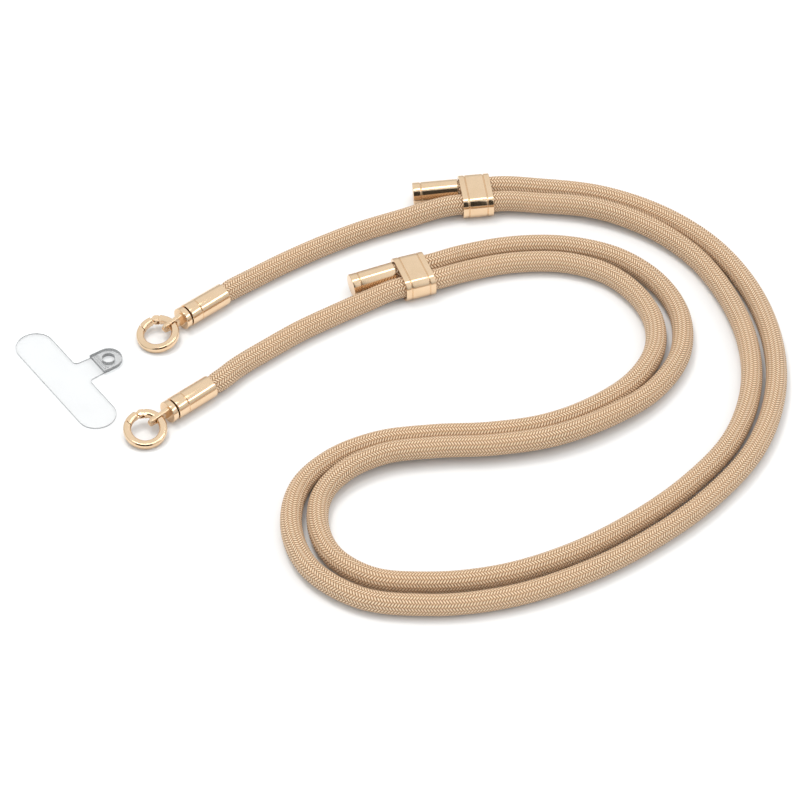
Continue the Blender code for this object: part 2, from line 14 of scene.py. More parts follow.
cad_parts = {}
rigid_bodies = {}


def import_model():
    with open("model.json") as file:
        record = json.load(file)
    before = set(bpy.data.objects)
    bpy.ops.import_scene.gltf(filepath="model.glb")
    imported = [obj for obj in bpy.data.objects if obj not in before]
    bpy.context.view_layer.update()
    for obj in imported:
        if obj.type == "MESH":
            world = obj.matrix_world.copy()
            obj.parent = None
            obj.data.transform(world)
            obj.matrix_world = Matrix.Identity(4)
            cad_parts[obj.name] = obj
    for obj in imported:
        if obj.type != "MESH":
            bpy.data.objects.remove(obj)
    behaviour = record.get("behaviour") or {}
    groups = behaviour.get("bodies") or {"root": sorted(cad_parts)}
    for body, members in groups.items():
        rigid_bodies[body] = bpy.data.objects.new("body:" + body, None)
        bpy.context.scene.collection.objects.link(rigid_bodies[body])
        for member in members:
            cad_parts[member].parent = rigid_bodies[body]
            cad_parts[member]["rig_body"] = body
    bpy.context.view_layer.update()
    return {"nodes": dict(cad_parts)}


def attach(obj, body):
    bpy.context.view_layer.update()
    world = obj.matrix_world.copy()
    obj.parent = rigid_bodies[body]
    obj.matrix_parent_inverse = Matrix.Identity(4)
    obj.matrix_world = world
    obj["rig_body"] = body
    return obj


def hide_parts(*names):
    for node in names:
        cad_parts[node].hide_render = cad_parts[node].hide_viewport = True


MM = 0.001

# Sizes that the part's source gives, by the same names
ROPE_D = 8.0
ROPE_R = ROPE_D / 2
ROPE_END_R = 3.5
ROPE_Z = ROPE_R + 0.1
TAPER = 3.5
GAP = 0.3
RUN = 0.1

CAP_R = 4.4
CAP_LENGTH = 18.0
CAP_GROOVE_AT = 4.7
CAP_WALL = 1.4
ROPE_IN_CAP = 12.0
BORE_R = ROPE_END_R + GAP

DISC_GAP = 0.5
DISC_R = 4.3
DISC_THICK = 2.4
DISC_FACE = DISC_GAP + DISC_THICK
SHAFT_R = 1.3
HEAD_R = 2.4
HEAD_THICK = 1.2
LUG_THICK = 1.6
LUG_ROOT_HALF = 2.9
LUG_TIP_R = 1.85
LUG_TIP_AT = 7.0
EYE_AT = 4.3
EYE_R = 1.9
RIVET_R = 0.5
RIVET_SUNK = 0.2

BAR = 3.0
BAR_CORNER_R = 1.0
RING_OUTER_R = 8.2
RING_MID_R = RING_OUTER_R - BAR / 2
BODY_END_DEG = 48.0
GATE_PIVOT_DEG = 61.7
GATE_START_DEG = 76.5
GATE_END_DEG = 116.0
GATE_TIP_GAP = 0.3
EAR_R = 1.25
EAR_TOP = 1.38
TONGUE_R = 1.2
TONGUE_HALF = 0.6
EAR_BOTTOM = TONGUE_HALF + 0.2
GATE_PIN_R = 0.5
GATE_PIN_HALF = 1.47

HOLE_SPACING = 8.6
HOLE_R = ROPE_R + 0.25
SLIDER_WALL = 0.8
SLIDER_LENGTH = 12.0
SLIDER_CORNER_R = 4.0
SLIDER_GROOVE_AT = 2.4
GROOVE_DEPTH = 0.3
GROOVE_HALF = 0.25
SLIDER_HALF_HEIGHT = HOLE_R + SLIDER_WALL
SLIDER_HALF_WIDTH = HOLE_SPACING / 2 + HOLE_R + SLIDER_WALL
SLIDER_Z = SLIDER_HALF_HEIGHT

STOP_R = 4.35
STOP_LENGTH = 17.6
STOP_GROOVE_AT = 3.2
STOP_WALL = 1.5
STOP_GAP = 0.5
ROPE_IN_STOP = 13.0

TAB_LENGTH = 58.4
TAB_WIDTH = 14.8
TAB_THICK = 0.6
STEM_WIDTH = 10.4
STEM_LENGTH = 6.5
STEM_FILLET = 1.6
EYELET_THICK = 1.9
EYELET_HOLE_AT = 5.1
EYELET_HOLE_R = 2.4
RIB_AT = (0.9, 2.0)
RIB_HALF_WIDTH = 0.3
RIB_HEIGHT = 0.35

# Finer than the part's solids
TURN_STEPS = 96
RING_STEPS = 144
HOLE_STEPS = 48
CORNER_STEPS = 14
TAB_STEPS = 40
EDGE_STEPS = 5
EDGE_R = 0.35               # rounding of the turned pieces' and sliders' edges
LUG_EDGE_R = 0.28
EYE_RIM_R = 0.2
SLIDER_RIM_R = 0.2
TAB_EDGE_R = 0.18
EYELET_EDGE_R = 0.4
EYELET_RIM_R = 0.35
RIB_EDGE_R = 0.2
BEVEL = 0.1                 # width of the bevel on a ring and its gate
BEVEL_FROM_DEG = 38.0
SHARP_FROM_DEG = 35.0       # edges that turn more than this are shaded sharp
SLOT_DEG = (47.0, 50.5)     # narrow slots where a ring's body meets its hinge
SLOT_FLOOR = 0.95
SEAM = 0.01                 # keeps a cutting tool's corners off the face it cuts
ROPE_SIDES = 40
ROPE_RING_EVERY = 1.0       # distance between the rings of a rope's mesh
LEAD = 1.5                  # a rope stays straight this far past its slider

# Braid
STRANDS = 16                # strands around the rope in each of the two directions
STRAND_PITCH = 1.1          # distance along the rope from one strand to the next

# Where the pieces lie, as in the part's source
CAPS = {
    "upper": dict(x=-26.9, y=-4.1, heading=41.0, slope=12.1, swing=-4.0, roll=4.0),
    "lower": dict(x=-30.3, y=-54.1, heading=41.5, slope=7.8, swing=6.0, roll=12.5),
}
SLIDERS = {
    "upper": dict(x=83.5, y=62.7, heading=7.5, stop_heading=5.0),
    "lower": dict(x=59.2, y=16.9, heading=19.5, stop_heading=21.0),
}
TAB = dict(x=-71.5, y=-35.0, heading=-55.2)

# Ropes' routes from the caps to the sliders, as in the part's source: x, y
SINGLE = {
    "upper": [(-4.0, 15.4), (9.0, 25.0), (24.0, 34.8), (39.0, 43.2), (54.0, 49.8)],
    "lower": [(-7.0, -31.8), (4.5, -21.8), (16.0, -12.4), (29.0, -3.6), (41.0, 4.0)],
}
# Doubled route from the upper to the lower slider: x, y of the line between the ropes, the distance
# between their axes, and how far rope_upper rides up on the other
DOUBLE = [
    (109.0, 63.4, 8.9, 0.5),
    (131.0, 59.6, 8.7, 1.0),
    (152.0, 49.4, 8.6, 0.6),
    (170.0, 32.8, 8.9, 0.0),
    (182.8, 9.8, 9.6, 0.0),
    (189.5, -15.2, 9.4, 0.0),
    (189.8, -42.3, 9.2, 0.0),
    (180.7, -72.3, 9.4, 0.0),
    (163.5, -96.1, 9.9, 0.0),
    (141.3, -116.6, 10.1, 0.0),
    (117.2, -132.6, 10.3, 0.0),
    (91.0, -143.3, 10.7, 0.0),
    (63.8, -146.9, 10.8, 0.0),
    (41.5, -143.8, 10.5, 0.0),
    (25.6, -131.2, 10.2, 0.0),
    (19.4, -113.1, 9.7, 0.0),
    (22.1, -95.1, 9.1, 0.4),
    (32.4, -82.7, 8.6, 1.4),
    (46.7, -75.0, 8.4, 2.0),
    (66.0, -71.6, 8.4, 2.0),
    (88.0, -70.2, 8.4, 2.0),
    (109.0, -65.9, 8.4, 2.0),
    (129.0, -55.8, 8.4, 1.6),
    (145.6, -41.2, 9.0, 0.6),
    (154.8, -23.0, 9.8, 0.0),
    (155.1, -5.0, 10.5, 0.0),
    (148.0, 11.5, 10.6, 0.0),
    (135.5, 23.8, 9.9, 0.0),
    (118.0, 30.2, 9.2, 0.0),
    (98.0, 30.2, 9.1, 0.0),
    (79.0, 25.4, 9.0, 0.0),
]

# Camera and studio, in metres
CAMERA_AT = (0.0540, -1.2198, 1.1748)
CAMERA_TILT_DEG = 45.0
LENS_MM = 200.0
SENSOR_MM = 36.0
FLOOR_BELOW = 0.0001
FLOOR_SIZE = 8.0
SKY_LIGHT = 1.0
HORIZON_LIGHT = 0.55
SKY_TINT = (0.95, 0.98, 1.0, 1)
SKY_FULL_AT = 0.6           # height of a direction from which the sky has its full light
FLAG_AWAY = 2.4
FLAG_ELEVATIONS = (6.0, 62.0)
FLAG_AZIMUTHS = (-125, -59, 5)      # start, end and step in degrees
# Soft lights: position, width and height, power in watts, and whether the metal mirrors them
LIGHT_AIM = (0.05, -0.03, 0.0)
LIGHTS = {
    "key": dict(
        at=(-0.40, 0.47, 2.0),
        size=(0.55, 0.55),
        power=13.0,
        color=(1.0, 0.975, 0.94),
        mirrored=False,
    ),
    "overhead": dict(
        at=(0.1, -0.12, 2.0),
        size=(1.4, 0.35),
        power=6.0,
        color=(1.0, 0.99, 0.97),
        mirrored=True,
    ),
    "side": dict(
        at=(1.7, -0.35, 1.45),
        size=(0.9, 0.3),
        power=3.5,
        color=(1.0, 0.99, 0.97),
        mirrored=True,
    ),
}


# Small geometry helpers
def heading_vector(degrees):
    angle = math.radians(degrees)
    return Vector((math.cos(angle), math.sin(angle), 0.0))


def frame_at(origin, z_axis, x_axis):
    """Matrix of a local frame at origin (in mm) with the given Z, and X as near x_axis as it can be."""
    z = Vector(z_axis).normalized()
    x = Vector(x_axis)
    x = (x - z * x.dot(z)).normalized()
    y = z.cross(x)
    turned_axes = Matrix((x, y, z)).transposed().to_4x4()
    return Matrix.Translation(Vector(origin) * MM) @ turned_axes


def arc(center_x, center_y, radius, start_deg, end_deg, steps):
    """Points on an arc, both ends included."""
    points = []
    for i in range(steps + 1):
        angle = math.radians(start_deg + (end_deg - start_deg) * i / steps)
        points.append((center_x + radius * math.cos(angle), center_y + radius * math.sin(angle)))
    return points


def circle(center, radius, count):
    """Points evenly around a circle."""
    return arc(*center, radius, 0, 360 * (count - 1) / count, count - 1)


def rounded_loop(half_width, half_height, radius, steps):
    """Outline of a rounded rectangle, the same number of points at each corner."""
    corners = [(1, 1, 0), (-1, 1, 90), (-1, -1, 180), (1, -1, 270)]
    points = []
    for side_x, side_y, start in corners:
        center_x = side_x * (half_width - radius)
        center_y = side_y * (half_height - radius)
        points += arc(center_x, center_y, radius, start, start + 90, steps)
    return points


def eased(points, radius, closed=False):
    """Round the corners of a path of (x, y) points, less where the path is short."""
    path = [Vector(point) for point in points]
    count = len(path)
    result = []
    for i, corner in enumerate(path):
        if not closed and i in (0, count - 1):
            result.append(tuple(corner))
            continue
        to_last = path[i - 1] - corner
        to_next = path[(i + 1) % count] - corner
        turn = math.pi - to_last.angle(to_next)
        if turn < math.radians(12):
            result.append(tuple(corner))
            continue
        back = radius * math.tan(turn / 2)
        back = min(back, 0.45 * to_last.length, 0.45 * to_next.length)
        start = corner + to_last.normalized() * back
        end = corner + to_next.normalized() * back
        for k in range(EDGE_STEPS + 1):
            u = k / EDGE_STEPS
            # A quadratic curve through the corner's control point
            result.append(tuple(start * (1 - u) ** 2 + corner * (2 * u * (1 - u)) + end * u**2))
    return result


def add_object(name, data, matrix):
    made = bpy.data.objects.new(name, data)
    made.matrix_world = matrix
    bpy.context.scene.collection.objects.link(made)
    return made


def finish_mesh(name, builder, matrix):
    """Write a bmesh drawn in mm into an object, sized to metres, with its faces outward."""
    bmesh.ops.remove_doubles(builder, verts=builder.verts, dist=0.0005)
    bmesh.ops.recalc_face_normals(builder, faces=builder.faces)
    bmesh.ops.scale(builder, vec=(MM, MM, MM), verts=builder.verts)
    data = bpy.data.meshes.new(name)
    builder.to_mesh(data)
    builder.free()
    return add_object(name, data, matrix)


def turned(name, profile, steps, matrix):
    """Turn a closed or axis-to-axis profile of (radius, z) about Z."""
    data = bpy.data.meshes.new(name)
    points = [(radius * MM, 0.0, z * MM) for radius, z in profile]
    count = len(points)
    edges = [(i, i + 1) for i in range(count - 1)]
    on_axis = profile[0][0] == 0 and profile[-1][0] == 0
    if not on_axis:
        edges.append((count - 1, 0))
    data.from_pydata(points, edges, [])
    made = add_object(name, data, matrix)
    screw = made.modifiers.new("turn", "SCREW")
    screw.axis = "Z"
    screw.steps = steps
    screw.render_steps = steps
    screw.use_merge_vertices = True
    screw.merge_threshold = 0.000001
    return made


def extruded(name, outline, low, high, matrix):
    """A flat outline of (x, y) points raised from z = low to z = high."""
    builder = bmesh.new()
    base = [builder.verts.new((x, y, low)) for x, y in outline]
    face = builder.faces.new(base)
    grown = bmesh.ops.extrude_face_region(builder, geom=[face])
    top = [item for item in grown["geom"] if isinstance(item, bmesh.types.BMVert)]
    bmesh.ops.translate(builder, vec=(0, 0, high - low), verts=top)
    return finish_mesh(name, builder, matrix)


def swept(name, loops, matrix, closed):
    """Join loops of equal length, and the last one to the first or else a flat face at each end."""
    builder = bmesh.new()
    rows = [[builder.verts.new(point) for point in loop] for loop in loops]
    count = len(rows[0])
    for i in range(len(rows) if closed else len(rows) - 1):
        row = rows[i]
        following = rows[(i + 1) % len(rows)]
        for j in range(count):
            k = (j + 1) % count
            builder.faces.new((row[j], row[k], following[k], following[j]))
    if not closed:
        builder.faces.new(rows[0][::-1])
        builder.faces.new(rows[-1])
    return finish_mesh(name, builder, matrix)


def inset(outline, distance):
    """An outline drawn counterclockwise, moved inward by the distance."""
    moved = []
    count = len(outline)
    for i in range(count):
        point = Vector(outline[i])
        before = (point - Vector(outline[i - 1])).normalized()
        after = (Vector(outline[(i + 1) % count]) - point).normalized()
        inward = Vector((-before.y - after.y, before.x + after.x)).normalized()
        lean = max(inward.dot(Vector((-after.y, after.x))), 0.5)
        moved.append(tuple(point + inward * (distance / lean)))
    return moved


def slab(name, outline, low, high, edge, matrix):
    """A flat outline raised from low to high, with rounded edges."""
    loops = []
    for z_from, z_way in ((low, 1), (high, -1)):
        ring = []
        for k in range(EDGE_STEPS + 1):
            angle = math.pi / 2 * k / EDGE_STEPS
            z = z_from + z_way * edge * (1 - math.sin(angle))
            ring.append([(x, y, z) for x, y in inset(outline, edge * (1 - math.cos(angle)))])
        loops += ring[::-1] if z_way == 1 else ring
    return swept(name, loops, matrix, closed=False)


def hole_tool(name, center, radius, low, high, edge, matrix):
    """Tool for a round hole from low to high whose rims are rounded outward."""
    low -= SEAM
    high += SEAM
    profile = [(0.0, low - 1), (radius + edge, low - 1)]
    profile += [(radius + edge - x, low + y) for x, y in arc(0.0, edge, edge, -90, 0, EDGE_STEPS)]
    profile += [(radius + edge - x, high - y) for x, y in arc(0.0, edge, edge, 0, -90, EDGE_STEPS)]
    profile += [(radius + edge, high + 1), (0.0, high + 1)]
    at_center = matrix @ Matrix.Translation((center[0] * MM, center[1] * MM, 0.0))
    return turned(name, profile[::-1], HOLE_STEPS, at_center)


def combine(target, tool, operation):
    """Join, cut or intersect target with tool."""
    step = target.modifiers.new(tool.name, "BOOLEAN")
    step.operation = operation
    step.solver = "EXACT"
    step.object = tool
    TOOLS.append(tool)


def bevel(target):
    step = target.modifiers.new("edges", "BEVEL")
    step.width = BEVEL * MM
    step.segments = 2
    step.limit_method = "ANGLE"
    step.angle_limit = math.radians(BEVEL_FROM_DEG)


def bake_modifiers(target):
    """Replace an object's mesh by what its modifiers make of it, shaded smooth but for sharp edges."""
    depsgraph = bpy.context.evaluated_depsgraph_get()
    made = bpy.data.meshes.new_from_object(target.evaluated_get(depsgraph))
    target.modifiers.clear()
    target.data = made
    for polygon in made.polygons:
        polygon.use_smooth = True
    made.set_sharp_from_angle(angle=math.radians(SHARP_FROM_DEG))


def dress(piece, node, material):
    """Show a finished piece in place of its CAD node, on the same body."""
    piece.data.materials.clear()
    piece.data.materials.append(material)
    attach(piece, NODES[node]["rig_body"])
    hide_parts(node)


# Materials
class Graph:
    """Adds nodes to a material. A value is a number, a colour or another node's output."""

    def __init__(self, name):
        self.material = bpy.data.materials.new(name)
        self.material.use_nodes = True
        self.tree = self.material.node_tree
        self.shader = self.tree.nodes["Principled BSDF"]

    def join(self, value, socket):
        if isinstance(value, bpy.types.NodeSocket):
            self.tree.links.new(value, socket)
        else:
            socket.default_value = value

    def set(self, **values):
        """Set the shader's sockets, named with _ for a space."""
        for name, value in values.items():
            self.join(value, self.shader.inputs[name.replace("_", " ")])

    def math(self, operation, first, second=0.0, third=0.0):
        made = self.tree.nodes.new("ShaderNodeMath")
        made.operation = operation
        for socket, value in zip(made.inputs, (first, second, third)):
            self.join(value, socket)
        return made.outputs[0]

    def spread(self, value, low, high, to_low, to_high):
        """Map a value from one range to another, held at the ends."""
        made = self.tree.nodes.new("ShaderNodeMapRange")
        for socket, item in zip(made.inputs, (value, low, high, to_low, to_high)):
            self.join(item, socket)
        return made.outputs[0]

    def mix(self, factor, first, second):
        made = self.tree.nodes.new("ShaderNodeMix")
        made.data_type = "RGBA"
        self.join(factor, made.inputs["Factor"])
        self.join(first, made.inputs[6])
        self.join(second, made.inputs[7])
        return made.outputs[2]

    def place(self):
        return self.tree.nodes.new("ShaderNodeTexCoord").outputs["Object"]

    def noise(self, scale, detail=2.0, stretch=(1.0, 1.0, 1.0)):
        """Noise in the piece's own coordinates; scale is in cycles per metre."""
        moved = self.tree.nodes.new("ShaderNodeMapping")
        moved.inputs["Scale"].default_value = stretch
        self.tree.links.new(self.place(), moved.inputs["Vector"])
        made = self.tree.nodes.new("ShaderNodeTexNoise")
        made.inputs["Scale"].default_value = scale
        made.inputs["Detail"].default_value = detail
        self.tree.links.new(moved.outputs[0], made.inputs["Vector"])
        return made.outputs["Fac"]

    def bump(self, height, depth, strength=1.0):
        """Surface relief of the given depth in mm."""
        made = self.tree.nodes.new("ShaderNodeBump")
        made.inputs["Strength"].default_value = strength
        made.inputs["Distance"].default_value = depth * MM
        self.join(height, made.inputs["Height"])
        return made.outputs[0]


def braid_material():
    """Herringbone of flat strands, each over two and under two, with painted shade in the gaps between
    them and a painted highlight on their crowns.

    The UV map runs in mm along the rope and from 0 to 1 around it.
    """
    g = Graph("rope_braid")
    uv = g.tree.nodes.new("ShaderNodeUVMap")
    uv.uv_map = "braid"
    split = g.tree.nodes.new("ShaderNodeSeparateXYZ")
    g.tree.links.new(uv.outputs[0], split.inputs[0])
    along = g.math("DIVIDE", split.outputs[0], STRAND_PITCH)
    around = g.math("MULTIPLY", split.outputs[1], STRANDS)

    # Position counted in strands of each direction, whole part and rest
    counts = [g.math("ADD", around, along), g.math("SUBTRACT", around, along)]
    whole = [g.math("FLOOR", count) for count in counts]
    rest = [g.math("FRACT", count) for count in counts]
    cell = g.math("ADD", whole[0], whole[1])
    first_on_top = g.math("LESS_THAN", g.math("FLOORED_MODULO", cell, 4.0), 2.0)

    def strand(own, other, start):
        """Height of a strand: round across, and arched where it passes over the other two."""
        across = g.math("MULTIPLY_ADD", rest[own], 2.0, -1.0)
        crown = g.math("SUBTRACT", 1.0, g.math("POWER", g.math("ABSOLUTE", across), 2.4))
        run = g.math("FLOORED_MODULO", g.math("ADD", whole[own], counts[other]), 4.0)
        run = g.math("SUBTRACT", run, start + 1.0)
        arch = g.math("SUBTRACT", 1.0, g.math("MULTIPLY", run, run))
        return g.math("MULTIPLY", crown, g.math("MULTIPLY_ADD", arch, 0.45, 0.55))

    heights = [strand(0, 1, 0.0), strand(1, 0, 2.0)]
    difference = g.math("SUBTRACT", heights[0], heights[1])
    height = g.math("MULTIPLY_ADD", difference, first_on_top, heights[1])

    # Fine filaments run along each strand
    own_rest = g.math("MULTIPLY_ADD", g.math("SUBTRACT", rest[0], rest[1]), first_on_top, rest[1])
    filament = g.math("SINE", g.math("MULTIPLY", own_rest, 6 * math.tau))
    relief = g.math("MULTIPLY_ADD", filament, 0.05, height)

    # Each strand has its own slight shade
    own_whole = g.math("MULTIPLY_ADD", g.math("SUBTRACT", whole[0], whole[1]), first_on_top, whole[1])
    shade = g.tree.nodes.new("ShaderNodeTexWhiteNoise")
    shade.noise_dimensions = "2D"
    ids = g.tree.nodes.new("ShaderNodeCombineXYZ")
    g.join(own_whole, ids.inputs[0])
    g.join(cell, ids.inputs[1])
    g.tree.links.new(ids.outputs[0], shade.inputs["Vector"])

    # Painted shade: deep is the near black-brown painted into the gaps between strands; middle is the
    # yarn's own tan.
    deep = (0.09, 0.034, 0.011, 1)
    middle = (0.79, 0.472, 0.258, 1)
    # Painted highlight: light is the pale colour painted on the strands' crowns in place of the yarn's
    # gloss.
    light = (0.99, 0.81, 0.59, 1)
    # Painted shade: the low parts between strands are darkened towards deep.
    gap_shade = g.spread(height, 0.1, 0.66, 0.0, 1.0)
    # Painted highlight: the crowns are lightened towards light.
    crest_highlight = g.spread(height, 0.6, 0.95, 0.0, 1.0)
    color = g.mix(gap_shade, deep, middle)
    color = g.mix(crest_highlight, color, light)
    tint = g.mix(g.spread(shade.outputs["Value"], 0.0, 1.0, 0.0, 0.16), color, middle)
    patch = g.spread(g.noise(38.0, 3.0), 0.35, 0.65, 0.0, 0.18)
    tint = g.mix(patch, tint, (0.83, 0.515, 0.295, 1))
    g.set(
        Base_Color=tint,
        Roughness=g.spread(height, 0.0, 1.0, 0.75, 0.46),
        Normal=g.bump(relief, 0.5),
    )
    g.shader.inputs["Specular IOR Level"].default_value = 0.4
    g.shader.inputs["Sheen Weight"].default_value = 0.12
    g.shader.inputs["Sheen Roughness"].default_value = 0.4
    g.shader.inputs["Sheen Tint"].default_value = (1.0, 0.82, 0.62, 1)
    return g.material


def gold_material():
    """Polished champagne gold with faint wear and polishing marks."""
    g = Graph("gold_metal")
    cloud = g.noise(160.0, 3.0)
    fine = g.noise(2600.0, 2.0)
    marks = g.noise(900.0, 3.0, (1.0, 1.0, 7.0))
    color = g.mix(g.spread(cloud, 0.3, 0.7, 0.0, 1.0), (0.83, 0.60, 0.385, 1), (0.88, 0.65, 0.435, 1))
    wear = g.spread(fine, 0.55, 0.8, 0.0, 0.12)
    rough = g.math("ADD", g.spread(marks, 0.3, 0.7, 0.1, 0.17), wear)
    g.set(Base_Color=color, Roughness=rough, Normal=g.bump(marks, 0.0008))
    g.shader.inputs["Metallic"].default_value = 1.0
    return g.material


def plastic_material():
    """Clear plastic: its faces are nearly invisible; its edges and its thick eyelet are painted a
    darker, more opaque grey as shade, in place of the dark edges that refraction gives.
    """
    g = Graph("clear_plastic")
    cloud = g.noise(90.0, 2.0)
    split = g.tree.nodes.new("ShaderNodeSeparateXYZ")
    g.tree.links.new(g.tree.nodes.new("ShaderNodeNewGeometry").outputs["True Normal"], split.inputs[0])
    # Painted shade: upright faces and the thick eyelet get a darker grey and more opacity, standing in
    # for the shade at the edges of real clear plastic.
    upright_shade = g.spread(g.math("ABSOLUTE", split.outputs[2]), 0.25, 0.97, 1.0, 0.0)
    height = g.tree.nodes.new("ShaderNodeSeparateXYZ")
    g.tree.links.new(g.place(), height.inputs[0])
    thick_shade = g.spread(height.outputs[2], 1.05 * TAB_THICK * MM, 1.5 * TAB_THICK * MM, 0.0, 1.0)
    edge = g.math("MAXIMUM", upright_shade, g.math("MULTIPLY", thick_shade, 0.14))
    tint = g.mix(edge, (0.33, 0.33, 0.33, 1), (0.14, 0.145, 0.15, 1))
    g.set(
        Base_Color=tint,
        Alpha=g.math("ADD", g.spread(edge, 0.0, 1.0, 0.055, 0.8), g.spread(cloud, 0.3, 0.7, 0.0, 0.01)),
        Roughness=g.spread(cloud, 0.3, 0.7, 0.03, 0.08),
        Normal=g.bump(cloud, 0.01, 0.4),
    )
    g.shader.inputs["IOR"].default_value = 1.46
    return g.material


def floor_material():
    g = Graph("studio_floor")
    cloud = g.noise(3.0, 2.0)
    tint = g.mix(cloud, (0.84, 0.845, 0.85, 1), (0.86, 0.86, 0.86, 1))
    g.set(Base_Color=tint, Roughness=0.85)
    g.shader.inputs["Specular IOR Level"].default_value = 0.1
    return g.material


# Turned pieces
def grooved_side(radius, length, groove_at):
    """Outer side of a barrel from z = length down to z = 0, with one groove."""
    return [
        (radius, length),
        (radius, groove_at + GROOVE_HALF),
        (radius - GROOVE_DEPTH, groove_at + GROOVE_HALF / 2),
        (radius - GROOVE_DEPTH, groove_at - GROOVE_HALF / 2),
        (radius, groove_at - GROOVE_HALF),
        (radius, 0.0),
    ]


def make_cap(side, place):
    heading = heading_vector(place["heading"])
    matrix = frame_at((place["x"], place["y"], CAP_R), heading, (0, 0, 1))
    inside = [
        (SHAFT_R + RUN, 0.0),
        (SHAFT_R + RUN, CAP_WALL),
        (BORE_R, CAP_WALL),
        (BORE_R, CAP_LENGTH),
    ]
    profile = eased(grooved_side(CAP_R, CAP_LENGTH, CAP_GROOVE_AT) + inside, EDGE_R, closed=True)
    cap = turned("fine_cap_" + side, profile, TURN_STEPS, matrix)
    bake_modifiers(cap)
    return cap


def stop_frame(place):
    """Where an end stop's free end is, which way it points and where its rope leaves the slider."""
    along = heading_vector(place["heading"])
    across = Vector((-along.y, along.x, 0.0))
    mouth = Vector((place["x"], place["y"], SLIDER_Z)) - along * (SLIDER_LENGTH / 2)
    mouth += across * (HOLE_SPACING / 2)
    rise = math.asin((SLIDER_Z - STOP_R) / (STOP_LENGTH + STOP_GAP))
    axis = heading_vector(place["stop_heading"]) * math.cos(rise)
    axis.z = math.sin(rise)
    free_end = mouth - axis * (STOP_GAP + STOP_LENGTH)
    return free_end, axis, mouth


def make_stop(side, place):
    free_end, axis, _ = stop_frame(place)
    matrix = frame_at(free_end, axis, (0, 0, 1))
    inside = [
        (0.0, STOP_WALL),
        (BORE_R, STOP_WALL),
        (BORE_R, STOP_LENGTH),
    ]
    outside = grooved_side(STOP_R, STOP_LENGTH, STOP_GROOVE_AT) + [(0.0, 0.0)]
    stop = turned("fine_stop_" + side, eased(inside + outside, EDGE_R), TURN_STEPS, matrix)
    bake_modifiers(stop)
    return stop


def make_connector(side, place):
    heading = heading_vector(place["heading"])
    up = Matrix.Rotation(math.radians(place["roll"]), 3, heading) @ Vector((0, 0, 1))
    matrix = frame_at((place["x"], place["y"], CAP_R), -heading, up)
    neck = CAP_WALL + GAP
    profile = [
        (0.0, DISC_FACE),
        (DISC_R, DISC_FACE),
        (DISC_R, DISC_GAP),
        (SHAFT_R, DISC_GAP),
        (SHAFT_R, -neck),
        (HEAD_R, -neck),
        (HEAD_R, -neck - HEAD_THICK),
        (0.0, -neck - HEAD_THICK),
    ]
    connector = turned("fine_connector_" + side, eased(profile, EDGE_R), TURN_STEPS, matrix)

    # The lug's outline is drawn flat and then stood up, with its own Z along local -Y
    stand = matrix @ Matrix(((1, 0, 0, 0), (0, 0, -1, 0), (0, 1, 0, 0), (0, 0, 0, 1)))
    half = LUG_THICK / 2
    tip_z = DISC_FACE + LUG_TIP_AT
    outline = [(-LUG_ROOT_HALF, DISC_FACE - 0.4), (LUG_ROOT_HALF, DISC_FACE - 0.4)]
    outline += arc(0.0, tip_z, LUG_TIP_R, 0, 180, 24)
    lug = slab("lug_" + side, outline, -half, half, LUG_EDGE_R, stand)
    eye_at = (0.0, DISC_FACE + EYE_AT)
    combine(lug, hole_tool("eye_" + side, eye_at, EYE_R, -half, half, EYE_RIM_R, stand), "DIFFERENCE")
    floor = half - RIVET_SUNK
    for label, low, high in (("front", floor, half + 1), ("back", -half - 1, -floor)):
        rim = circle((0.0, tip_z), RIVET_R, 24)
        dimple = extruded("rivet_" + label + "_" + side, rim, low, high, stand)
        combine(lug, dimple, "DIFFERENCE")
    combine(connector, lug, "UNION")
    bake_modifiers(connector)
    return connector


# Ring and gate
def ring_frame(place):
    """Frame of a ring whose bar passes through its connector's eye."""
    heading = heading_vector(place["heading"])
    roll = Matrix.Rotation(math.radians(place["roll"]), 3, heading)
    ring_heading = heading_vector(place["heading"] + place["swing"])
    slope = math.radians(place["slope"])
    towards_eye = roll @ (ring_heading * math.cos(slope) + Vector((0, 0, math.sin(slope))))
    normal = roll @ (Vector((0, 0, math.cos(slope))) - ring_heading * math.sin(slope))
    eye = Vector((place["x"], place["y"], CAP_R)) - heading * (DISC_FACE + EYE_AT)
    return frame_at(eye - towards_eye * RING_MID_R, normal, towards_eye)


def ring_point(degrees, radius=RING_MID_R):
    angle = math.radians(degrees)
    return radius * math.cos(angle), radius * math.sin(angle)


def full_ring(name, matrix):
    half = BAR / 2
    section = rounded_loop(half, half, BAR_CORNER_R, 6)
    profile = [(RING_MID_R + x, y) for x, y in reversed(section)]
    return turned(name, profile, RING_STEPS, matrix)


def wedge(name, start_deg, end_deg, matrix, low=-BAR, high=BAR):
    outline = [(0.0, 0.0)] + arc(0.0, 0.0, RING_OUTER_R * 1.5, start_deg, end_deg, 4)
    return extruded(name, outline, low, high, matrix)


def strip(name, start, end, half_width, low, high, matrix):
    """A flat bar from start to end, with a round end about end."""
    along = Vector((end[0] - start[0], end[1] - start[1]))
    facing = math.degrees(math.atan2(along.y, along.x))
    side = Vector((-along.y, along.x)).normalized() * half_width
    outline = [(start[0] + side.x, start[1] + side.y), (start[0] - side.x, start[1] - side.y)]
    outline += arc(end[0], end[1], half_width, facing - 90, facing + 90, 16)
    return extruded(name, outline, low, high, matrix)


def gate_reach(name, extra, matrix):
    """Round block about the gate's pivot, as far as its free end reaches."""
    pivot = Vector(ring_point(GATE_PIVOT_DEG))
    end = Vector(ring_point(GATE_END_DEG))
    reach = circle(pivot, (end - pivot).length + extra, 120)
    return extruded(name, reach, -BAR * 0.75, BAR * 0.75, matrix)


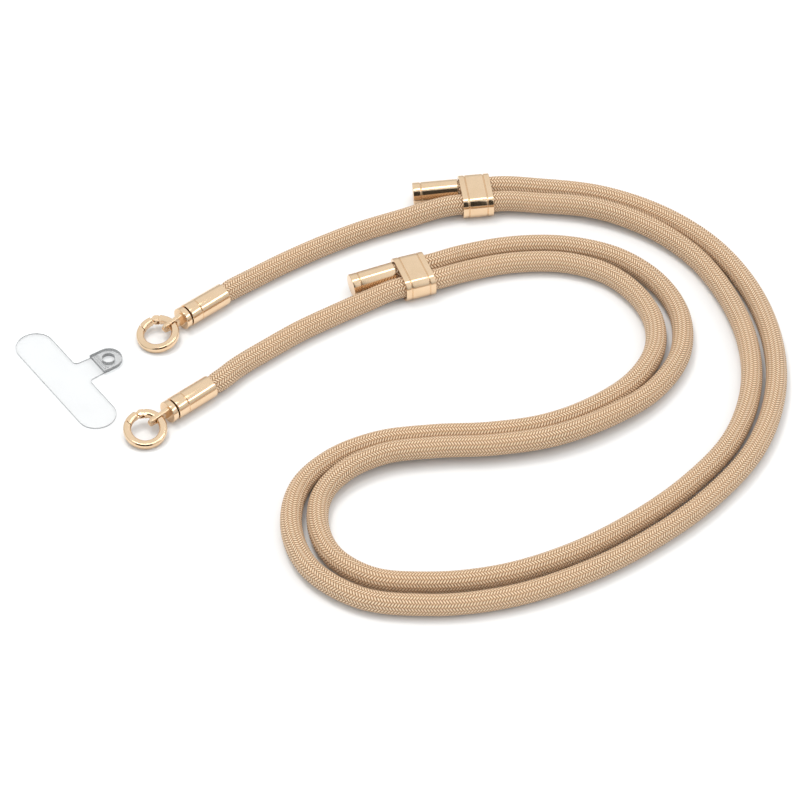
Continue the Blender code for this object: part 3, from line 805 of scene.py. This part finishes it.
def make_ring(side, place):
    matrix = ring_frame(place)
    ring = full_ring("fine_ring_" + side, matrix)
    opening = wedge("opening_" + side, BODY_END_DEG, GATE_END_DEG + 30, matrix)
    combine(opening, gate_reach("body_reach_" + side, GATE_TIP_GAP, matrix), "INTERSECT")
    combine(ring, opening, "DIFFERENCE")
    pivot = ring_point(GATE_PIVOT_DEG)
    root = ring_point(BODY_END_DEG - 8)
    for label, low, high in (("top", EAR_BOTTOM, EAR_TOP), ("bottom", -EAR_TOP, -EAR_BOTTOM)):
        ear = strip("ear_" + label + "_" + side, root, pivot, EAR_R, low, high, matrix)
        combine(ring, ear, "UNION")
    pin_rim = circle(pivot, GATE_PIN_R, 45)
    pin = extruded("gate_pin_" + side, pin_rim, -GATE_PIN_HALF, GATE_PIN_HALF, matrix)
    combine(ring, pin, "UNION")
    # Narrow slots set the hinge's knuckle off from the body
    for label, low, high in (("top", SLOT_FLOOR, BAR), ("bottom", -BAR, -SLOT_FLOOR)):
        slot = wedge("slot_" + label + "_" + side, *SLOT_DEG, matrix, low, high)
        combine(ring, slot, "DIFFERENCE")
    bevel(ring)
    bake_modifiers(ring)
    return ring


def make_gate(side, place):
    matrix = ring_frame(place)
    gate = full_ring("fine_gate_" + side, matrix)
    span = wedge("span_" + side, GATE_START_DEG, GATE_END_DEG + 30, matrix)
    combine(span, gate_reach("gate_reach_" + side, 0.0, matrix), "INTERSECT")
    combine(gate, span, "INTERSECT")
    pivot = ring_point(GATE_PIVOT_DEG)
    root = ring_point(GATE_START_DEG + 8)
    tongue = strip("tongue_" + side, root, pivot, TONGUE_R, -TONGUE_HALF, TONGUE_HALF, matrix)
    combine(gate, tongue, "UNION")
    bore = extruded("gate_bore_" + side, circle(pivot, GATE_PIN_R + RUN, 45), -BAR, BAR, matrix)
    combine(gate, bore, "DIFFERENCE")
    bevel(gate)
    bake_modifiers(gate)
    return gate


# Slider
def make_slider(side, place):
    along = heading_vector(place["heading"])
    matrix = frame_at((place["x"], place["y"], SLIDER_Z), (0, 0, 1), along)
    half = SLIDER_LENGTH / 2
    groove = half - SLIDER_GROOVE_AT
    stations = [(-half, SLIDER_WALL / 2), (-half, 0.0)]
    for middle in (-groove, groove):
        stations += [
            (middle - GROOVE_HALF, 0.0),
            (middle - GROOVE_HALF / 2, GROOVE_DEPTH),
            (middle + GROOVE_HALF / 2, GROOVE_DEPTH),
            (middle + GROOVE_HALF, 0.0),
        ]
    stations += [(half, 0.0), (half, SLIDER_WALL / 2)]
    loops = []
    for x, sunk in eased(stations, EDGE_R):
        width = SLIDER_HALF_WIDTH - sunk
        height = SLIDER_HALF_HEIGHT - sunk
        outline = rounded_loop(width, height, SLIDER_CORNER_R - sunk, CORNER_STEPS)
        loops.append([(x, y, z) for y, z in outline])
    rim = SLIDER_RIM_R
    for x, widening in ((half, rim), (half - rim, 0.0), (rim - half, 0.0), (-half, rim)):
        radius = HOLE_R + widening
        opening = rounded_loop(HOLE_SPACING / 2 + radius, radius, radius, CORNER_STEPS)
        loops.append([(x, y, z) for y, z in opening])
    slider = swept("fine_slider_" + side, loops, matrix, closed=True)
    bake_modifiers(slider)
    return slider


# Phone tab
def make_tab():
    place = Matrix.Translation(Vector((TAB["x"], TAB["y"], 0.0)) * MM)
    matrix = place @ Matrix.Rotation(math.radians(TAB["heading"]), 4, "Z")
    half_width = TAB_WIDTH / 2
    end_x = TAB_LENGTH / 2 - half_width
    stem = STEM_WIDTH / 2
    eyelet_y = half_width + STEM_LENGTH
    outline = arc(-end_x, 0.0, half_width, 90, 270, TAB_STEPS)
    outline += arc(end_x, 0.0, half_width, -90, 90, TAB_STEPS)
    outline += arc(stem + STEM_FILLET, half_width + STEM_FILLET, STEM_FILLET, 270, 180, 8)
    outline += [(stem - 0.4, eyelet_y + 1.5), (-stem + 0.4, eyelet_y + 1.5)]
    outline += arc(-stem - STEM_FILLET, half_width + STEM_FILLET, STEM_FILLET, 0, -90, 8)
    tab = slab("fine_phone_tab", outline, 0.0, TAB_THICK, TAB_EDGE_R, matrix)

    hole_y = eyelet_y + EYELET_HOLE_AT
    outline = [(-stem, eyelet_y), (stem, eyelet_y)] + arc(0.0, hole_y, stem, 0, 180, TAB_STEPS)
    block = slab("eyelet_block", outline, 0.0, EYELET_THICK, EYELET_EDGE_R, matrix)
    combine(tab, block, "UNION")
    for i, distance in enumerate(RIB_AT):
        middle = eyelet_y + distance
        reach = stem - 0.5
        outline = [
            (-reach, middle - RIB_HALF_WIDTH),
            (reach, middle - RIB_HALF_WIDTH),
            (reach, middle + RIB_HALF_WIDTH),
            (-reach, middle + RIB_HALF_WIDTH),
        ]
        top = EYELET_THICK + RIB_HEIGHT
        rib = slab("rib_" + str(i), outline, EYELET_THICK - 0.5, top, RIB_EDGE_R, matrix)
        combine(tab, rib, "UNION")
    center = (0.0, hole_y)
    hole = hole_tool("eyelet_hole", center, EYELET_HOLE_R, 0.0, EYELET_THICK, EYELET_RIM_R, matrix)
    combine(tab, hole, "DIFFERENCE")
    bake_modifiers(tab)
    return tab


# Ropes
def smooth_line(points, knots, first_slope, last_slope):
    """Function of a knot value that runs smoothly through the points."""
    points = np.asarray(points, float)
    knots = np.asarray(knots, float)
    slopes = np.gradient(points, knots, axis=0)
    slopes[0] = first_slope
    slopes[-1] = last_slope

    def at(value):
        i = int(np.clip(np.searchsorted(knots, value) - 1, 0, len(knots) - 2))
        span = knots[i + 1] - knots[i]
        u = (value - knots[i]) / span
        start = (2 * u**3 - 3 * u**2 + 1) * points[i] + (u**3 - 2 * u**2 + u) * span * slopes[i]
        end = (3 * u**2 - 2 * u**3) * points[i + 1] + (u**3 - u**2) * span * slopes[i + 1]
        return start + end

    return at


def distances(points):
    steps = np.linalg.norm(np.diff(np.asarray(points, float), axis=0), axis=1)
    return np.concatenate([[0.0], np.cumsum(steps)])


def sampled(line, length):
    """Closely spaced points of a smooth line, both ends included."""
    count = math.ceil(length / ROPE_RING_EVERY)
    return [line(length * i / count) for i in range(count + 1)]


def hole_point(place, sign, along_mm):
    """Point on a rope's axis in a slider: sign is +1 for the back hole, along_mm from its middle."""
    along = heading_vector(place["heading"])
    across = Vector((-along.y, along.x, 0.0))
    point = Vector((place["x"], place["y"], SLIDER_Z))
    return np.array(point + along * along_mm + across * (sign * HOLE_SPACING / 2))


def single_stretch(side):
    """Rope from inside its cap to the near end of its slider's front hole."""
    place = CAPS[side]
    heading = heading_vector(place["heading"])
    collar = Vector((place["x"], place["y"], CAP_R))
    deep = np.array(collar + heading * (CAP_LENGTH - ROPE_IN_CAP))
    leave = np.array(collar + heading * (CAP_LENGTH + TAPER))
    route = [(x, y, ROPE_Z) for x, y in SINGLE[side]]
    arrive = hole_point(SLIDERS[side], -1, -SLIDER_LENGTH / 2 - LEAD)
    points = np.array([leave, *route, arrive])
    knots = distances(points)
    slope = np.array(heading_vector(SLIDERS[side]["heading"]))
    line = smooth_line(points, knots, np.array(heading), slope)
    return [deep] + sampled(line, knots[-1])


def doubled_stretch():
    """Both ropes from the upper to the lower slider, side by side."""
    half = SLIDER_LENGTH / 2 + LEAD
    first = {1: hole_point(SLIDERS["upper"], -1, half), -1: hole_point(SLIDERS["upper"], 1, half)}
    last = {1: hole_point(SLIDERS["lower"], 1, half), -1: hole_point(SLIDERS["lower"], -1, half)}
    middles = [(first[1] + first[-1]) / 2]
    middles += [np.array((x, y, ROPE_Z)) for x, y, _, _ in DOUBLE]
    middles.append((last[1] + last[-1]) / 2)
    knots = distances(middles)
    leave = np.array(heading_vector(SLIDERS["upper"]["heading"]))
    arrive = -np.array(heading_vector(SLIDERS["lower"]["heading"]))
    middle_line = smooth_line(middles, knots, leave, arrive)
    tangents = [middle_line(min(k + 0.5, knots[-1])) - middle_line(max(k - 0.5, 0.0)) for k in knots]
    ropes = {}
    for sign in (1, -1):
        points = [first[sign]]
        for row, tangent in zip(DOUBLE, tangents[1:-1]):
            x, y, spacing, ride = row
            right = np.array((tangent[1], -tangent[0], 0.0)) / math.hypot(tangent[0], tangent[1])
            height = ROPE_Z + (ride if sign == 1 else 0.0)
            points.append(np.array((x, y, height)) + right * (sign * spacing / 2))
        points.append(last[sign])
        line = smooth_line(points, knots, leave, arrive)
        ropes[sign] = sampled(line, knots[-1])
    return ropes


def stop_stretch(side):
    """Rope from its slider's back hole into the end stop, ending inside it."""
    free_end, axis, mouth = stop_frame(SLIDERS[side])
    wide_at = hole_point(SLIDERS[side], 1, -SLIDER_LENGTH / 2 + TAPER)
    deep = np.array(free_end + axis * (STOP_LENGTH - ROPE_IN_STOP))
    return [wide_at, np.array(mouth), deep]


def evenly(points):
    """The same line with points at even distances."""
    points = np.asarray(points)
    at = distances(points)
    count = round(at[-1] / ROPE_RING_EVERY)
    even = np.linspace(0.0, at[-1], count + 1)
    return np.stack([np.interp(even, at, points[:, axis]) for axis in range(3)], axis=1), even


def ease(value):
    value = np.clip(value, 0.0, 1.0)
    return value * value * (3 - 2 * value)


def make_rope(side, points, material):
    """Braided tube along the points, with its length in mm and its turn as a UV map."""
    centers, along = evenly(points)
    from_cap = along - ROPE_IN_CAP - 0.2
    from_stop = along[-1] - along - ROPE_IN_STOP - STOP_GAP
    swell = ease(np.minimum(from_cap, from_stop) / TAPER)
    radii = ROPE_END_R + (ROPE_R - ROPE_END_R) * swell
    tangents = np.gradient(centers, axis=0)
    tangents /= np.linalg.norm(tangents, axis=1)[:, None]
    right = np.cross(tangents, (0.0, 0.0, 1.0))
    right /= np.linalg.norm(right, axis=1)[:, None]
    up = np.cross(right, tangents)

    # Corner 0 is underneath, where the UV map's two edges meet
    turn = np.arange(ROPE_SIDES) / ROPE_SIDES
    angle = turn * math.tau - math.pi / 2
    outward = right[:, None] * np.cos(angle)[None, :, None] + up[:, None] * np.sin(angle)[None, :, None]
    verts = centers[:, None] + outward * radii[:, None, None]
    rows = len(centers)
    faces = []
    places = []
    for i in range(rows - 1):
        for j in range(ROPE_SIDES):
            k = (j + 1) % ROPE_SIDES
            faces.append((
                i * ROPE_SIDES + j,
                i * ROPE_SIDES + k,
                (i + 1) * ROPE_SIDES + k,
                (i + 1) * ROPE_SIDES + j,
            ))
            low = j / ROPE_SIDES
            high = (j + 1) / ROPE_SIDES
            places += [
                (along[i], low),
                (along[i], high),
                (along[i + 1], high),
                (along[i + 1], low),
            ]
    for row in (0, rows - 1):
        ring = [row * ROPE_SIDES + j for j in range(ROPE_SIDES)]
        faces.append(ring[::-1] if row == 0 else ring)
        places += [(along[row], 0.0)] * ROPE_SIDES
    data = bpy.data.meshes.new("braid_" + side)
    data.from_pydata((verts.reshape(-1, 3) * MM).tolist(), [], faces)
    layer = data.uv_layers.new(name="braid")
    layer.data.foreach_set("uv", np.array(places, float).ravel())
    for polygon in data.polygons:
        polygon.use_smooth = True
    rope = add_object("braid_" + side, data, Matrix.Identity(4))
    dress(rope, "rope_" + side, material)


def make_ropes(material):
    doubled = doubled_stretch()
    upper = single_stretch("upper") + doubled[1] + stop_stretch("lower")
    lower = single_stretch("lower") + doubled[-1][::-1] + stop_stretch("upper")
    make_rope("upper", upper, material)
    make_rope("lower", lower, material)


# Studio
def make_floor():
    half = FLOOR_SIZE / 2
    corners = [(-half, -half), (half, -half), (half, half), (-half, half)]
    data = bpy.data.meshes.new("floor")
    data.from_pydata([(x, y, -FLOOR_BELOW) for x, y in corners], [], [(0, 1, 2, 3)])
    floor = add_object("floor", data, Matrix.Identity(4))
    data.materials.append(floor_material())


def area_light(name, at, size, power, color, mirrored):
    data = bpy.data.lights.new(name, "AREA")
    data.shape = "RECTANGLE"
    data.size, data.size_y = size
    data.energy = power
    data.color = color
    light = bpy.data.objects.new(name, data)
    light.location = at
    light.rotation_euler = (Vector(LIGHT_AIM) - Vector(at)).to_track_quat("-Z", "Y").to_euler()
    light.visible_glossy = mirrored
    bpy.context.scene.collection.objects.link(light)


def dark_flag():
    """Dark card low behind the camera, seen only as the dark bands in the metal."""
    builder = bmesh.new()
    rows = []
    for elevation in FLAG_ELEVATIONS:
        out = FLAG_AWAY * math.cos(math.radians(elevation))
        up = FLAG_AWAY * math.sin(math.radians(elevation))
        row = []
        for azimuth in range(*FLAG_AZIMUTHS):
            place = heading_vector(azimuth) * out
            place.z = up
            row.append(builder.verts.new(place))
        rows.append(row)
    for i in range(len(rows[0]) - 1):
        builder.faces.new((rows[0][i], rows[0][i + 1], rows[1][i + 1], rows[1][i]))
    data = bpy.data.meshes.new("dark_flag")
    builder.to_mesh(data)
    builder.free()
    flag = add_object("dark_flag", data, Matrix.Identity(4))
    g = Graph("flag_cloth")
    g.set(Base_Color=(0.03, 0.025, 0.02, 1), Roughness=1.0)
    data.materials.append(g.material)
    flag.visible_camera = False
    flag.visible_diffuse = False
    flag.visible_shadow = False
    flag.visible_transmission = False


def make_world():
    """Studio surroundings, bright overhead and dimmer towards the horizon."""
    world = bpy.data.worlds.new("studio")
    bpy.context.scene.world = world
    world.use_nodes = True
    tree = world.node_tree
    place = tree.nodes.new("ShaderNodeTexCoord")
    split = tree.nodes.new("ShaderNodeSeparateXYZ")
    ramp = tree.nodes.new("ShaderNodeMapRange")
    tree.links.new(place.outputs["Generated"], split.inputs[0])
    tree.links.new(split.outputs[2], ramp.inputs[0])
    ramp.inputs[1].default_value = 0.0
    ramp.inputs[2].default_value = SKY_FULL_AT
    ramp.inputs[3].default_value = HORIZON_LIGHT
    ramp.inputs[4].default_value = SKY_LIGHT
    background = tree.nodes["Background"]
    background.inputs["Color"].default_value = SKY_TINT
    tree.links.new(ramp.outputs[0], background.inputs["Strength"])


def make_camera():
    data = bpy.data.cameras.new("camera")
    data.lens = LENS_MM
    data.sensor_width = SENSOR_MM
    data.clip_start = 0.05
    data.clip_end = 50.0
    camera = bpy.data.objects.new("camera", data)
    camera.location = CAMERA_AT
    camera.rotation_euler = Euler((math.radians(CAMERA_TILT_DEG), 0.0, 0.0))
    bpy.context.scene.collection.objects.link(camera)
    bpy.context.scene.camera = camera


# Load the part, dress its pieces and set up the studio
for old in list(bpy.data.objects):
    bpy.data.objects.remove(old, do_unlink=True)
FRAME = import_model()
NODES = FRAME["nodes"]
TOOLS = []

GOLD = gold_material()
for cap_side, cap_place in CAPS.items():
    dress(make_cap(cap_side, cap_place), "cap_" + cap_side, GOLD)
    dress(make_connector(cap_side, cap_place), "connector_" + cap_side, GOLD)
    dress(make_ring(cap_side, cap_place), "ring_" + cap_side, GOLD)
    dress(make_gate(cap_side, cap_place), "gate_" + cap_side, GOLD)
for slider_side, slider_place in SLIDERS.items():
    dress(make_slider(slider_side, slider_place), "slider_" + slider_side, GOLD)
    dress(make_stop(slider_side, slider_place), "stop_" + slider_side, GOLD)
dress(make_tab(), "phone_tab", plastic_material())
make_ropes(braid_material())
for tool in TOOLS:
    bpy.data.objects.remove(tool, do_unlink=True)

make_floor()
make_world()
dark_flag()
for light_name, light in LIGHTS.items():
    area_light(light_name, **light)
make_camera()
bpy.context.scene.view_settings.view_transform = "Standard"
